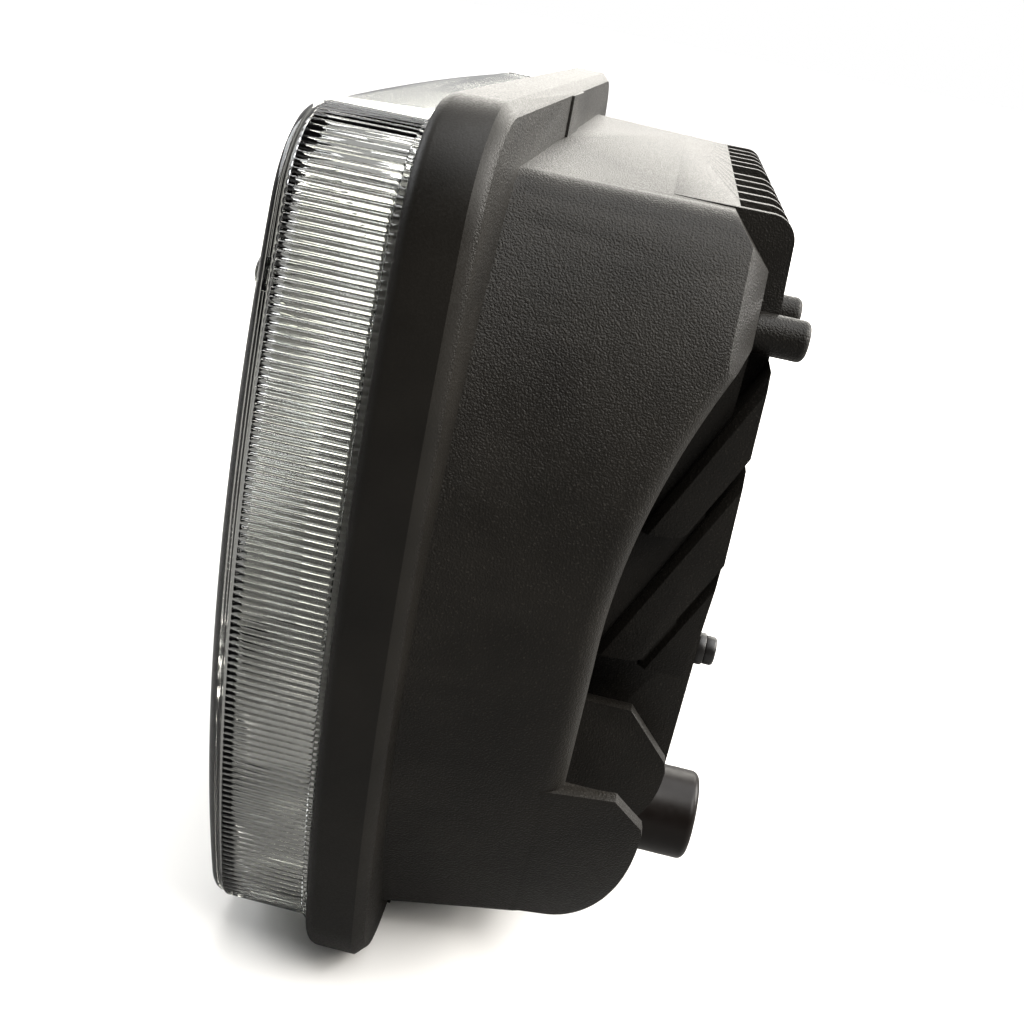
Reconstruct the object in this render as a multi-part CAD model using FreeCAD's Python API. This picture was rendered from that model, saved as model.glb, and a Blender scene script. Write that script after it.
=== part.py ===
import FreeCAD, Part
import math
import os

# Driving dimensions, in millimetres
# The lens looks along -Y, +Z is up, and the origin is the middle of the rim's front plane

# How far a cut or a welded piece runs past the face it meets, and how near two points count as one
overlap = 1.0
same_place = 0.01

# Rim outline and section
rim_width = 200.0
rim_height = 142.0
rim_side_radius = 243.0
rim_corner_radius = 19.0
rim_depth = 10.0
rim_front_round = 2.0
rim_rear_chamfer = 1.7

# Lens
lens_inset = 4.1
lens_wall = 2.6
lens_crown = 22.0
lens_crown_radius = 1240.0
lens_edge_round = 2.6
lens_foot_depth = 4.2
lens_bead_width = 1.5
lens_bead_height = 0.5
lens_rim_gap = 0.1
flute_pitch = 1.177
flute_depth = 0.45
flute_front = 15.3
pad_radius = 2.2
pad_height = 2.4
pad_side_inset = 20.0
pad_top_inset = 27.5
pad_low_inset = 19.0

# Groove in the rim and the bead of sealant in it
groove_gap = 0.7
groove_depth = 5.0
seal_height = 3.0

# Housing casting
bowl_inset = 9.0
bowl_low_inset = 5.2
bowl_side_inset = 8.0
bowl_side_radius = 110.0
bowl_widest_z = -8.0
bowl_corner = 8.0
bowl_side_taper = 5.5
bowl_top_taper = 0.7
bowl_low_taper = 4.6
bowl_rear = 44.5
shoulder_rear = 48.0
shoulder_inset = 8.0
back_y = 36.0
slope_radius = 85.0
ridge_round = 4.0
top_bevel_start_y = 40.6
top_bevel_drop = 8.2
cavity_inset = 12.0
cavity_floor = 31.0
casting_wall = 3.2

# Rear block with its fins, its rear edge as (y, z) points from the top down
block_top_drop = 0.4
block_rear_points = [(50.8, 59.0), (51.6, 47.5), (52.3, 26.0), (53.0, 8.0), (52.5, -5.0), (51.7, -14.0)]
fin_corner_radius = 4.0
fin_count = 6
fin_pitch = 9.45
fin_first_x = 8.0
fin_thickness = 1.7
fin_floor = 42.0
fin_low_z = -8.0

# Lower block
lower_half_width = 52.0
lower_rear = 54.0
lower_top_z = -11.0
lower_inlet_gap = 0.8
tail_inlet_gap = 1.5
tail_low_inset = 15.0

# Side panels and the louvres on them, each louvre as tip y, tip z, lip end y and outer x
panel_x = 61.5
panel_rear = 48.2
panel_top_z = 50.0
panel_low_z = -13.0
louvre_places = [(43.5, -14.6, 51.7, 62.4), (35.9, -12.9, 43.8, 63.4), (38.7, 10.9, 45.4, 64.4)]
louvre_rise = 0.6
louvre_angle = 66.0
louvre_inner_x = 50.0
louvre_bevel = 1.2
louvre_corner_radius = 2.5

# Lower ribs, each as its distance in from the side of the rim and (y, z) points along its top and its heel
rib_thickness = 2.4
inner_rib_inset = 42.0
inner_rib_top = [(45.0, -24.6), (46.2, -26.0), (53.0, -33.6), (53.5, -35.5)]
inner_rib_heel = [(53.5, -35.5), (53.4, -38.0), (52.2, -43.4), (50.6, -46.6), (46.0, -52.5), (41.0, -55.5)]
outer_rib_inset = 19.0
outer_rib_top = [(44.2, -27.3), (46.2, -28.6), (49.2, -31.4), (49.6, -32.6)]
outer_rib_heel = [(49.6, -32.6), (49.1, -34.8), (48.0, -40.0), (46.5, -44.6), (43.6, -48.6), (38.5, -51.4)]

# Round posts
post_radius = 3.2
post_end = 56.6
post_end_round = 1.2
post_z = 44.4
post_places = [40.0, 57.0]

# Locating lugs on the back of the rim
lug_width = 18.0
lug_height = 0.5
lug_low_inset = 38.0

# Shelf that carries the lamps
shelf_inset = 30.0
shelf_half_height = 3.0
shelf_front = 4.0

# Reflectors
bowl_side_gap = 6.0
bowl_middle_gap = 2.0
bowl_apex = 28.0
bowl_depth = 28.6
bowl_wall = 1.8
plate_thickness = 2.0
plate_clearance = 0.5
shelf_clearance = 0.4

# Lamp boards
board_thickness = 1.6
pad_thickness = 0.5
led_board_inset = 34.0
led_board_front = 6.0
led_board_rear = 22.0
chip_width = 5.0
chip_depth = 3.0
chip_height = 0.8

# Trim frame
bezel_thickness = 2.0
bezel_inset = 7.6
bezel_border = 19.5
bezel_window_corner = 16.0
bezel_bar_half_height = 5.2

# Screws
screw_radius = 1.5
screw_head_radius = 2.8
screw_head_height = 1.8
screw_fit = 0.05
screw_tip_gap = 0.5
trim_screw_length = 10.0
board_screw_length = 5.0
screw_post_radius = 4.0
trim_screw_side_inset = 38.0
trim_screw_top_inset = 16.0
led_screw_x = 6.0
led_screw_y = 18.0

# Driver board
driver_left = -64.0
driver_right = -8.0
driver_low_inset = 21.5
driver_height = 20.0
driver_lift = 3.0
driver_screw_edge = 3.6
driver_part_gap = 1.5
driver_post_radius = 3.2
inductor_radius = 6.0
inductor_hole = 2.5
inductor_height = 5.0
capacitor_radius = 4.0
capacitor_height = 7.0
transistor_size = 6.0
transistor_height = 1.5

# Electrical inlet
inlet_side_inset = 52.5
inlet_low_inset = 19.2
inlet_seat = 44.0
inlet_boss_radius = 10.0
inlet_radius = 8.4
inlet_end = 62.0
inlet_end_round = 1.5
inlet_flange_radius = 8.8
inlet_flange_height = 3.0
inlet_bore_radius = 6.9
inlet_bore_floor = 49.0
inlet_spigot_radius = 6.0
inlet_spigot_reach = 1.0
inlet_fit = 0.1
seal_inner_radius = 6.6
seal_outer_radius = 8.2
seal_thickness = 1.0
blade_width = 2.8
blade_thickness = 0.8
blade_offset = 4.6
blade_front = 27.0
blade_end = 58.0
blade_fit = 0.05

# Breather
vent_x = 48.0
vent_z = -15.5
vent_stem_radius = 1.6
vent_stem_length = 8.0
vent_fit = 0.05
vent_air_radius = 0.8
vent_body_radius = 2.9
vent_body_height = 1.5
vent_cap_radius = 2.6
vent_cap_height = 2.0
vent_cap_round = 0.6


def vec(x, y, z):
    return FreeCAD.Vector(x, y, z)


def line(start, end):
    return Part.LineSegment(start, end).toShape()


def arc(start, middle, end):
    return Part.Arc(start, middle, end).toShape()


class Outline:
    """Rounded rectangle with bowed sides, set in from the rim's own outline."""

    def __init__(self, inset, corner=None, top_inset=None):
        self.half_width = rim_width / 2 - inset
        self.half_height = rim_height / 2 - (inset if top_inset is None else top_inset)
        self.side = rim_side_radius - inset
        self.corner = rim_corner_radius - inset if corner is None else corner
        self.side_x = self.half_width - self.side
        self.corner_z = self.half_height - self.corner
        reach = self.side - self.corner
        self.corner_x = self.side_x + math.sqrt(reach ** 2 - self.corner_z ** 2)
        self.turn = math.asin(self.corner_z / reach)

    def on_side(self, angle):
        return self.side_x + self.side * math.cos(angle), self.side * math.sin(angle)

    def on_corner(self, angle):
        x = self.corner_x + self.corner * math.cos(angle)
        return x, self.corner_z + self.corner * math.sin(angle)

    def wire(self, y):
        middle_turn = (self.turn + math.pi / 2) / 2
        end_x, end_z = self.on_side(self.turn)
        mid_x, mid_z = self.on_corner(middle_turn)
        top_x, top_z = self.corner_x, self.half_height
        edges = [
            arc(vec(end_x, y, -end_z), vec(self.half_width, y, 0), vec(end_x, y, end_z)),
            arc(vec(end_x, y, end_z), vec(mid_x, y, mid_z), vec(top_x, y, top_z)),
            line(vec(top_x, y, top_z), vec(-top_x, y, top_z)),
            arc(vec(-top_x, y, top_z), vec(-mid_x, y, mid_z), vec(-end_x, y, end_z)),
            arc(vec(-end_x, y, end_z), vec(-self.half_width, y, 0), vec(-end_x, y, -end_z)),
            arc(vec(-end_x, y, -end_z), vec(-mid_x, y, -mid_z), vec(-top_x, y, -top_z)),
            line(vec(-top_x, y, -top_z), vec(top_x, y, -top_z)),
            arc(vec(top_x, y, -top_z), vec(mid_x, y, -mid_z), vec(end_x, y, -end_z)),
        ]
        return Part.Wire(edges)

    def prism(self, front, rear):
        return Part.Face(self.wire(front)).extrude(vec(0, rear - front, 0))

    def side_path(self, pitch):
        """Even steps up one side and round its two corners, as points with outward angles."""
        corner_length = self.corner * (math.pi / 2 - self.turn)
        side_length = self.side * self.turn
        total = 2 * (corner_length + side_length)
        count = 2 * round(total / pitch)
        steps = []
        for index in range(count + 1):
            distance = total * (index / count - 0.5)
            sign = 1 if distance >= 0 else -1
            length = abs(distance)
            if length <= side_length:
                angle = length / self.side
                x, z = self.on_side(angle)
            else:
                angle = self.turn + (length - side_length) / self.corner
                x, z = self.on_corner(angle)
            steps.append((x, sign * z, sign * angle))
        return steps


def box(x0, x1, y0, y1, z0, z1):
    return Part.makeBox(x1 - x0, y1 - y0, z1 - z0, vec(x0, y0, z0))


def rod(radius, x, z, front, rear):
    return Part.makeCylinder(radius, rear - front, vec(x, front, z), vec(0, 1, 0))


def side_plate(points, x0, x1):
    """Plate between two X planes, cut to an outline of (y, z) points."""
    corners = [vec(x0, y, z) for y, z in points]
    corners.append(corners[0])
    return Part.Face(Part.makePolygon(corners)).extrude(vec(x1 - x0, 0, 0))


def mirrored(shape):
    return shape.mirror(vec(0, 0, 0), vec(1, 0, 0))


def edges_at(shape, y):
    found = []
    for edge in shape.Edges:
        span = edge.BoundBox
        if abs(span.YMin - y) < same_place and abs(span.YMax - y) < same_place:
            found.append(edge)
    return found


def edge_between(shape, start, end):
    """The edge of a shape that runs between two points."""
    for edge in shape.Edges:
        ends = [vertex.Point for vertex in edge.Vertexes]
        if len(ends) == 2:
            near = max(ends[0].distanceToPoint(start), ends[1].distanceToPoint(end))
            far = max(ends[0].distanceToPoint(end), ends[1].distanceToPoint(start))
            if min(near, far) < same_place:
                return edge


# Rim
def make_rim():
    rim = Outline(0).prism(0, rim_depth)
    rim = rim.makeFillet(rim_front_round, edges_at(rim, 0))
    rim = rim.makeChamfer(rim_rear_chamfer, edges_at(rim, rim_depth))
    lugs = []
    edge_z = rim_height / 2 - rim_rear_chamfer
    foot_z = rim_height / 2 - bowl_inset - overlap
    half = lug_width / 2
    end = rim_depth + lug_height
    low_x = rim_width / 2 - lug_low_inset
    lugs.append(box(-half, half, rim_depth - overlap, end, foot_z, edge_z))
    for x in (-low_x, low_x):
        lugs.append(box(x - half, x + half, rim_depth - overlap, end, -edge_z, -foot_z))
    return rim.multiFuse(lugs)


# Bowl behind the rim
def bowl_wire(side_inset, top_z, low_z, y):
    """Section with one bowed arc up each side and rounded corners."""
    middle_x = rim_width / 2 - side_inset - bowl_side_radius
    reach = bowl_side_radius - bowl_corner
    high = math.asin((top_z - bowl_corner - bowl_widest_z) / reach)
    low = math.asin((low_z + bowl_corner - bowl_widest_z) / reach)
    high_x = middle_x + reach * math.cos(high)
    low_x = middle_x + reach * math.cos(low)
    high_turn = (high + math.pi / 2) / 2
    low_turn = (low - math.pi / 2) / 2
    right = [(low_x, low_z)]
    right.append((low_x + bowl_corner * math.cos(low_turn), low_z + bowl_corner * (1 + math.sin(low_turn))))
    for angle in (low, (low + high) / 2, high):
        x = middle_x + bowl_side_radius * math.cos(angle)
        right.append((x, bowl_widest_z + bowl_side_radius * math.sin(angle)))
    corner_x = high_x + bowl_corner * math.cos(high_turn)
    right.append((corner_x, top_z - bowl_corner * (1 - math.sin(high_turn))))
    right.append((high_x, top_z))
    left = [(-x, z) for x, z in reversed(right)]
    edges = []
    for side in (right, left):
        points = [vec(x, y, z) for x, z in side]
        for index in (0, 2, 4):
            edges.append(arc(points[index], points[index + 1], points[index + 2]))
        edges.append(line(points[-1], vec(-points[-1].x, y, points[-1].z)))
    return Part.Wire(edges)


def side_prism(edges):
    """Solid across the whole width, from a closed outline drawn at x = 0."""
    prism = Part.Face(Part.Wire(edges)).extrude(vec(rim_width, 0, 0))
    prism.translate(vec(-rim_width / 2, 0, 0))
    return prism


def make_slope():
    """What is cut away behind the bowl: upright low down, curving back higher up."""
    far = shoulder_rear + overlap
    low_z = -rim_height / 2
    turn = math.acos(1 - (far - back_y) / slope_radius)
    points = []
    for angle in (0, turn / 2, turn):
        y = back_y + slope_radius * (1 - math.cos(angle))
        points.append(vec(0, y, slope_radius * math.sin(angle)))
    corner = vec(0, far, low_z)
    foot = vec(0, back_y, low_z)
    back = arc(points[0], points[1], points[2])
    return side_prism([back, line(points[2], corner), line(corner, foot), line(foot, points[0])])


def bowl_section(y, inset, slope_inset):
    """Section of the tapered bowl at a place along Y, set in all round or at the sides alone."""
    share = (y - rim_depth) / (bowl_rear - rim_depth)
    side_inset = bowl_side_inset + share * bowl_side_taper + inset + slope_inset
    top_z = rim_height / 2 - bowl_inset - share * bowl_top_taper - inset
    low_z = bowl_low_inset - rim_height / 2 + share * bowl_low_taper + inset
    return bowl_wire(side_inset, top_z, low_z, y)


def make_bowl():
    top_z = rim_height / 2 - bowl_inset
    front = bowl_section(rim_depth - overlap, 0, 0)
    rear = bowl_section(bowl_rear, 0, 0)
    end = bowl_section(shoulder_rear, 0, shoulder_inset)
    wall = Part.makeLoft([front, rear], True, True)
    shoulder = Part.makeLoft([rear, end], True, True)
    bowl = wall.fuse(shoulder).cut(make_slope())
    ridge = []
    for edge in bowl.Edges:
        middle = edge.valueAt((edge.FirstParameter + edge.LastParameter) / 2)
        span = edge.BoundBox
        on_back = span.YMin > back_y - same_place and span.ZMin < 0
        if on_back and abs(middle.x) > panel_x and span.ZLength > overlap:
            ridge.append(edge)
    bowl = bowl.makeFillet(ridge_round, ridge)
    far = shoulder_rear + overlap
    bevel_z = top_z - top_bevel_drop
    bevel = [(top_bevel_start_y, top_z), (shoulder_rear, bevel_z), (far, bevel_z),
             (far, top_z + overlap), (top_bevel_start_y, top_z + overlap)]
    return bowl.cut(side_plate(bevel, -rim_width / 2, rim_width / 2))


# Rear block with two groups of upright fins, and the lower block under it
block_half_width = fin_first_x + (fin_count - 1) * fin_pitch + fin_thickness / 2
block_top_z = rim_height / 2 - bowl_inset - block_top_drop


def block_outline():
    root_y = cavity_floor + overlap
    top_y = block_rear_points[0][0]
    low_z = block_rear_points[-1][1]
    return [(root_y, block_top_z), (top_y, block_top_z)] + block_rear_points + [(root_y, low_z)]


def make_block():
    block = side_plate(block_outline(), -block_half_width, block_half_width)
    top_y = block_rear_points[0][0]
    left_end = vec(-block_half_width, top_y, block_top_z)
    right_end = vec(block_half_width, top_y, block_top_z)
    corner = edge_between(block, left_end, right_end)
    block = block.makeFillet(fin_corner_radius, [corner])
    far = lower_rear + overlap
    slots = []
    fin_places = [fin_first_x + index * fin_pitch for index in range(fin_count)]
    for index in range(fin_count - 1):
        start = fin_places[index] + fin_thickness / 2
        end = fin_places[index + 1] - fin_thickness / 2
        slot = box(start, end, fin_floor, far, fin_low_z, block_top_z + overlap)
        slots.append(slot)
        slots.append(mirrored(slot))
    middle_half = fin_first_x - fin_thickness / 2
    slots.append(box(-middle_half, middle_half, fin_floor, far, fin_low_z, block_top_z + overlap))
    root_y = cavity_floor + overlap
    lower = box(-lower_half_width, lower_half_width, root_y, lower_rear, lower_low_z, lower_top_z)
    tail = box(-tail_half_width, tail_half_width, root_y, lower_rear, tail_low_z, lower_top_z)
    return block.cut(slots).multiFuse([lower, tail])


# Side panels with louvres that overlap like scales
def make_louvres():
    slope = math.tan(math.radians(louvre_angle))
    far = lower_rear + overlap
    limit = side_plate(block_outline(), -rim_width / 2, rim_width / 2)
    pieces = [box(louvre_inner_x, panel_x, cavity_floor + overlap, panel_rear, panel_low_z, panel_top_z)]
    for tip_y, tip_z, lip_y, outer_x in louvre_places:
        lip_z = tip_z + louvre_rise
        top_z = tip_z + (far - tip_y) * slope
        points = [(tip_y, tip_z), (lip_y, lip_z), (far, lip_z + (far - lip_y) * slope), (far, top_z)]
        louvre = side_plate(points, louvre_inner_x, outer_x)
        upper = edge_between(louvre, vec(outer_x, tip_y, tip_z), vec(outer_x, far, top_z))
        louvre = louvre.makeChamfer(louvre_bevel, [upper])
        corner = edge_between(louvre, vec(louvre_inner_x, lip_y, lip_z), vec(outer_x, lip_y, lip_z))
        pieces.append(louvre.makeFillet(louvre_corner_radius, [corner]).common(limit))
    return pieces + [mirrored(piece) for piece in pieces]


# Lower ribs: an inner plate, and an outer one that carries the bowl's side on
def rib_plate(top, heel, x0, x1):
    """Plate between two X planes, with a straight-sided top and a smooth heel."""
    root_y = back_y - ridge_round
    corners = [vec(x0, root_y, top[0][1])] + [vec(x0, y, z) for y, z in top]
    root = vec(x0, root_y, heel[-1][1])
    curve = Part.BSplineCurve()
    curve.interpolate([vec(x0, y, z) for y, z in heel])
    edges = [line(first, second) for first, second in zip(corners, corners[1:])]
    edges.append(curve.toShape())
    edges.append(line(vec(x0, heel[-1][0], root.z), root))
    edges.append(line(root, corners[0]))
    return Part.Face(Part.Wire(edges)).extrude(vec(x1 - x0, 0, 0))


def make_ribs():
    inner_x = rim_width / 2 - inner_rib_inset
    outer_x = rim_width / 2 - outer_rib_inset
    half = rib_thickness / 2
    inner = rib_plate(inner_rib_top, inner_rib_heel, inner_x - half, inner_x + half)
    ends = [bowl_section(rim_depth, 0, 0), bowl_section(shoulder_rear + ridge_round, 0, 0)]
    side = Part.makeLoft(ends, True, True)
    outer = rib_plate(outer_rib_top, outer_rib_heel, outer_x - half, rim_width / 2).common(side)
    return [inner, mirrored(inner), outer, mirrored(outer)]


# Round posts on the rear
def make_posts():
    posts = []
    for x in post_places:
        post = rod(post_radius, x, post_z, fin_floor - overlap, post_end)
        post = post.makeFillet(post_end_round, edges_at(post, post_end))
        posts.append(post)
        posts.append(mirrored(post))
    return posts


# Places of the screws: trim screws along Y, board screws by their seats
def trim_screw_places():
    places = []
    side_x = rim_width / 2 - trim_screw_side_inset
    top_z = rim_height / 2 - trim_screw_top_inset
    for z in (-top_z, top_z):
        for x in (-side_x, 0, side_x):
            places.append((x, z))
    return places


def driver_screw_places():
    xs = (driver_left + driver_screw_edge, driver_right - driver_screw_edge)
    zs = (driver_low + driver_screw_edge, driver_high - driver_screw_edge)
    return [(x, z) for x in xs for z in zs]


bowl_radius = (rim_width / 2 - cavity_inset - bowl_side_gap - bowl_middle_gap) / 2
bowl_x = bowl_middle_gap + bowl_radius
bowl_focus = bowl_radius ** 2 / (4 * bowl_depth)
shelf_half_width = rim_width / 2 - shelf_inset
led_board_half_width = rim_width / 2 - led_board_inset
driver_low = driver_low_inset - rim_height / 2
driver_high = driver_low + driver_height
inlet_x = rim_width / 2 - inlet_side_inset
inlet_z = inlet_low_inset - rim_height / 2
lower_low_z = inlet_z + inlet_boss_radius + lower_inlet_gap
tail_half_width = inlet_x - inlet_boss_radius - tail_inlet_gap
tail_low_z = tail_low_inset - rim_height / 2
inlet_spigot_front = cavity_floor - inlet_spigot_reach
reflector_front = bowl_apex - bowl_depth
reflector_rear = reflector_front + plate_thickness
bezel_front = reflector_front - bezel_thickness
led_board_low = shelf_half_height + pad_thickness
led_board_top = led_board_low + board_thickness
driver_rear = cavity_floor - driver_lift
driver_front = driver_rear - board_thickness
groove_outer_inset = lens_inset - groove_gap
groove_inner_inset = lens_inset + lens_wall + groove_gap
hole_radius = screw_radius + screw_fit


# Housing: one casting with its rim, bowl, fins, louvres, ribs and posts
def make_housing():
    outside = make_rim().multiFuse([make_bowl(), make_block()] + make_louvres() + make_ribs() + make_posts())
    mouth_rear = rim_depth - casting_wall
    mouth = Outline(cavity_inset).prism(-overlap, mouth_rear + overlap)
    hollow_ends = [bowl_section(mouth_rear, casting_wall, 0), bowl_section(cavity_floor, casting_wall, 0)]
    hollow = Part.makeLoft(hollow_ends, True, True)
    groove = Outline(groove_outer_inset).prism(-overlap, groove_depth)
    groove = groove.cut(Outline(groove_inner_inset).prism(-2 * overlap, groove_depth + overlap))
    inlet_boss = rod(inlet_boss_radius, inlet_x, inlet_z, back_y - overlap, inlet_seat)
    shell = outside.fuse(inlet_boss).cut([mouth, hollow, groove])
    carriers = [box(-shelf_half_width, shelf_half_width, shelf_front, cavity_floor + overlap,
                    -shelf_half_height, shelf_half_height)]
    for x, z in trim_screw_places():
        carriers.append(rod(screw_post_radius, x, z, reflector_rear, cavity_floor + overlap))
    for x, z in driver_screw_places():
        carriers.append(rod(driver_post_radius, x, z, driver_rear, cavity_floor + overlap))
    shell = shell.multiFuse(carriers)
    holes = []
    for x, z in trim_screw_places():
        tip = bezel_front + trim_screw_length + screw_tip_gap
        holes.append(rod(hole_radius, x, z, reflector_rear - overlap, tip))
    for x, z in driver_screw_places():
        tip = driver_front + board_screw_length + screw_tip_gap
        holes.append(rod(hole_radius, x, z, driver_rear - overlap, tip))
    for x in (-led_screw_x, led_screw_x):
        foot = vec(x, led_screw_y, -2 * shelf_half_height)
        holes.append(Part.makeCylinder(hole_radius, 4 * shelf_half_height, foot))
    spigot_hole = inlet_spigot_radius + inlet_fit
    holes.append(rod(spigot_hole, inlet_x, inlet_z, inlet_spigot_front - overlap, inlet_seat + overlap))
    stem_hole = vent_stem_radius + vent_fit
    holes.append(rod(stem_hole, vent_x, vent_z, lower_rear - vent_stem_length, lower_rear + overlap))
    holes.append(rod(vent_air_radius, vent_x, vent_z, cavity_floor - overlap, lower_rear))
    return shell.cut(holes)


# Lens: crowned front, fluted sides, foot bead and three aiming pads
def make_flutes():
    """Ring of fine flutes round both sides and the corners, with a plain top and bottom."""
    path = Outline(lens_inset).side_path(flute_pitch)
    right = []
    for index, (x, z, angle) in enumerate(path):
        depth = flute_depth * (index % 2)
        right.append((x - depth * math.cos(angle), z - depth * math.sin(angle)))
    left = [(-x, -z) for x, z in right]
    points = [vec(x, -flute_front, z) for x, z in right + left]
    points.append(points[0])
    ring = Part.Face(Part.makePolygon(points)).extrude(vec(0, flute_front - lens_bead_width, 0))
    return ring.cut(Outline(lens_inset + lens_wall / 2).prism(-flute_front - overlap, 0))


def crown(inset, depth, rear):
    """Block with a crowned front, out to a depth before the rim."""
    centre = vec(0, lens_crown_radius - depth, 0)
    ball = Part.makeSphere(lens_crown_radius, centre)
    return Outline(inset).prism(-depth - overlap, rear).common(ball)


def make_lens():
    body = crown(lens_inset + flute_depth, lens_crown, lens_foot_depth)
    front_edges = []
    for edge in body.Edges:
        if edge.BoundBox.YMax < -flute_front + overlap:
            front_edges.append(edge)
    body = body.makeFillet(lens_edge_round, front_edges)
    bead = Outline(lens_inset - lens_bead_height).prism(-lens_bead_width, -lens_rim_gap)
    foot = Outline(lens_inset).prism(-lens_rim_gap, lens_foot_depth)
    pads = []
    side_x = rim_width / 2 - pad_side_inset
    side_z = rim_height / 2 - pad_top_inset
    for x, z in ((side_x, side_z), (-side_x, side_z), (0, pad_low_inset - rim_height / 2)):
        sag = (x ** 2 + z ** 2) / (2 * lens_crown_radius)
        surface = sag - lens_crown
        pads.append(rod(pad_radius, x, z, surface - pad_height, surface + lens_wall / 2))
    body = body.multiFuse([bead, foot] + pads)
    hollow = crown(lens_inset + lens_wall, lens_crown - lens_wall, lens_foot_depth + overlap)
    return body.cut(hollow).fuse(make_flutes())


# Bead of sealant round the lens foot
def make_lens_seal():
    bead = Outline(groove_outer_inset).prism(groove_depth - seal_height, groove_depth)
    bead = bead.cut(Outline(groove_inner_inset).prism(0, groove_depth + overlap))
    foot = Outline(lens_inset).prism(0, lens_foot_depth)
    foot = foot.cut(Outline(lens_inset + lens_wall).prism(-overlap, lens_foot_depth + overlap))
    return bead.cut(foot)


# Reflectors: half paraboloids on a plate
def parabola(apex, radius):
    points = []
    steps = 6
    for index in range(steps + 1):
        r = radius * index / steps
        points.append(vec(r, apex - r ** 2 / (4 * bowl_focus), 0))
    curve = Part.BSplineCurve()
    curve.interpolate(points)
    return curve.toShape(), points[0], points[-1]


def make_half_bowl():
    outer_radius = math.sqrt(4 * bowl_focus * (bowl_apex + bowl_wall - reflector_front))
    inner, inner_apex, inner_end = parabola(bowl_apex, bowl_radius)
    outer, outer_apex, outer_end = parabola(bowl_apex + bowl_wall, outer_radius)
    profile = Part.Wire([inner, line(inner_end, outer_end), outer, line(outer_apex, inner_apex)])
    return Part.Face(profile).revolve(vec(0, 0, 0), vec(0, 1, 0), -180)


def make_low_reflector():
    base_z = led_board_top + shelf_clearance
    plate = Outline(cavity_inset + plate_clearance).prism(reflector_front, reflector_rear)
    plate = plate.common(box(-rim_width, rim_width, -rim_width, rim_width, base_z, rim_height))
    mouth_radius = bowl_radius + bowl_wall / 4
    cuts = []
    bowls = []
    for x in (-bowl_x, bowl_x):
        cuts.append(rod(mouth_radius, x, base_z, reflector_front - overlap, reflector_rear + overlap))
        bowl = make_half_bowl()
        bowl.translate(vec(x, 0, base_z))
        bowls.append(bowl)
    for x, z in trim_screw_places():
        cuts.append(rod(hole_radius, x, z, reflector_front - overlap, reflector_rear + overlap))
    return plate.cut(cuts).multiFuse(bowls)


def flipped(shape):
    return shape.mirror(vec(0, 0, 0), vec(0, 0, 1))


# Trim frame in front of the reflectors
def make_bezel():
    frame = Outline(bezel_inset).prism(bezel_front, reflector_front)
    front = bezel_front - overlap
    rear = reflector_front + overlap
    window = Outline(bezel_border, bezel_window_corner).prism(front, rear)
    half = bezel_bar_half_height
    bar = box(-rim_width, rim_width, front - overlap, rear + overlap, -half, half)
    holes = []
    for x, z in trim_screw_places():
        holes.append(rod(hole_radius, x, z, front, rear))
    return frame.cut([window.cut(bar)] + holes)


# Lamp boards, with their pads and chips, for the low beam on top of the shelf
def make_led_sheet(low, high):
    sheet = box(-led_board_half_width, led_board_half_width, led_board_front, led_board_rear, low, high)
    holes = []
    for x in (-led_screw_x, led_screw_x):
        foot = vec(x, led_screw_y, low - overlap)
        holes.append(Part.makeCylinder(hole_radius, high - low + 2 * overlap, foot))
    return sheet.cut(holes)


def make_chips():
    focus_y = bowl_apex - bowl_focus
    chips = []
    for x in (-bowl_x, bowl_x):
        chips.append(box(x - chip_width / 2, x + chip_width / 2, focus_y - chip_depth / 2,
                         focus_y + chip_depth / 2, led_board_top, led_board_top + chip_height))
    return Part.makeCompound(chips)


# Driver board and what is soldered to it
def make_driver_board():
    board = box(driver_left, driver_right, driver_front, driver_rear, driver_low, driver_high)
    holes = []
    for x, z in driver_screw_places():
        holes.append(rod(hole_radius, x, z, driver_front - overlap, driver_rear + overlap))
    return board.cut(holes)


driver_middle_z = (driver_low + driver_high) / 2
driver_row_start = driver_left + 2 * driver_screw_edge


def make_inductor():
    x = driver_row_start + inductor_radius
    end = driver_front - inductor_height
    ring = rod(inductor_radius, x, driver_middle_z, end, driver_front)
    return ring.cut(rod(inductor_hole, x, driver_middle_z, end - overlap, driver_front + overlap))


def make_capacitors():
    start = driver_row_start + 2 * inductor_radius + driver_part_gap + capacitor_radius
    cans = []
    for index in range(2):
        x = start + index * (2 * capacitor_radius + driver_part_gap)
        cans.append(rod(capacitor_radius, x, driver_middle_z, driver_front - capacitor_height, driver_front))
    return Part.makeCompound(cans)


def make_transistors():
    start = driver_row_start + 2 * inductor_radius + 4 * capacitor_radius + 3 * driver_part_gap
    half = transistor_size / 2
    chips = []
    for z in (driver_middle_z - transistor_size, driver_middle_z + transistor_size):
        chips.append(box(start, start + transistor_size, driver_front - transistor_height, driver_front,
                         z - half, z + half))
    return Part.makeCompound(chips)


# Screws, made along +Y with the seat of the head at y = 0
def make_screw(length):
    head = rod(screw_head_radius, 0, 0, -screw_head_height, 0)
    head = head.makeFillet(screw_head_height / 2, edges_at(head, -screw_head_height))
    return head.fuse(rod(screw_radius, 0, 0, 0, length))


def make_trim_screws():
    screws = []
    for x, z in trim_screw_places():
        screw = make_screw(trim_screw_length)
        screw.translate(vec(x, bezel_front, z))
        screws.append(screw)
    return Part.makeCompound(screws)


def make_board_screws():
    screws = []
    for x, z in driver_screw_places():
        screw = make_screw(board_screw_length)
        screw.translate(vec(x, driver_front, z))
        screws.append(screw)
    for x in (-led_screw_x, led_screw_x):
        for turn, seat in ((-90, led_board_top), (90, -led_board_top)):
            screw = make_screw(board_screw_length)
            screw.rotate(vec(0, 0, 0), vec(1, 0, 0), turn)
            screw.translate(vec(x, led_screw_y, seat))
            screws.append(screw)
    return Part.makeCompound(screws)


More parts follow.
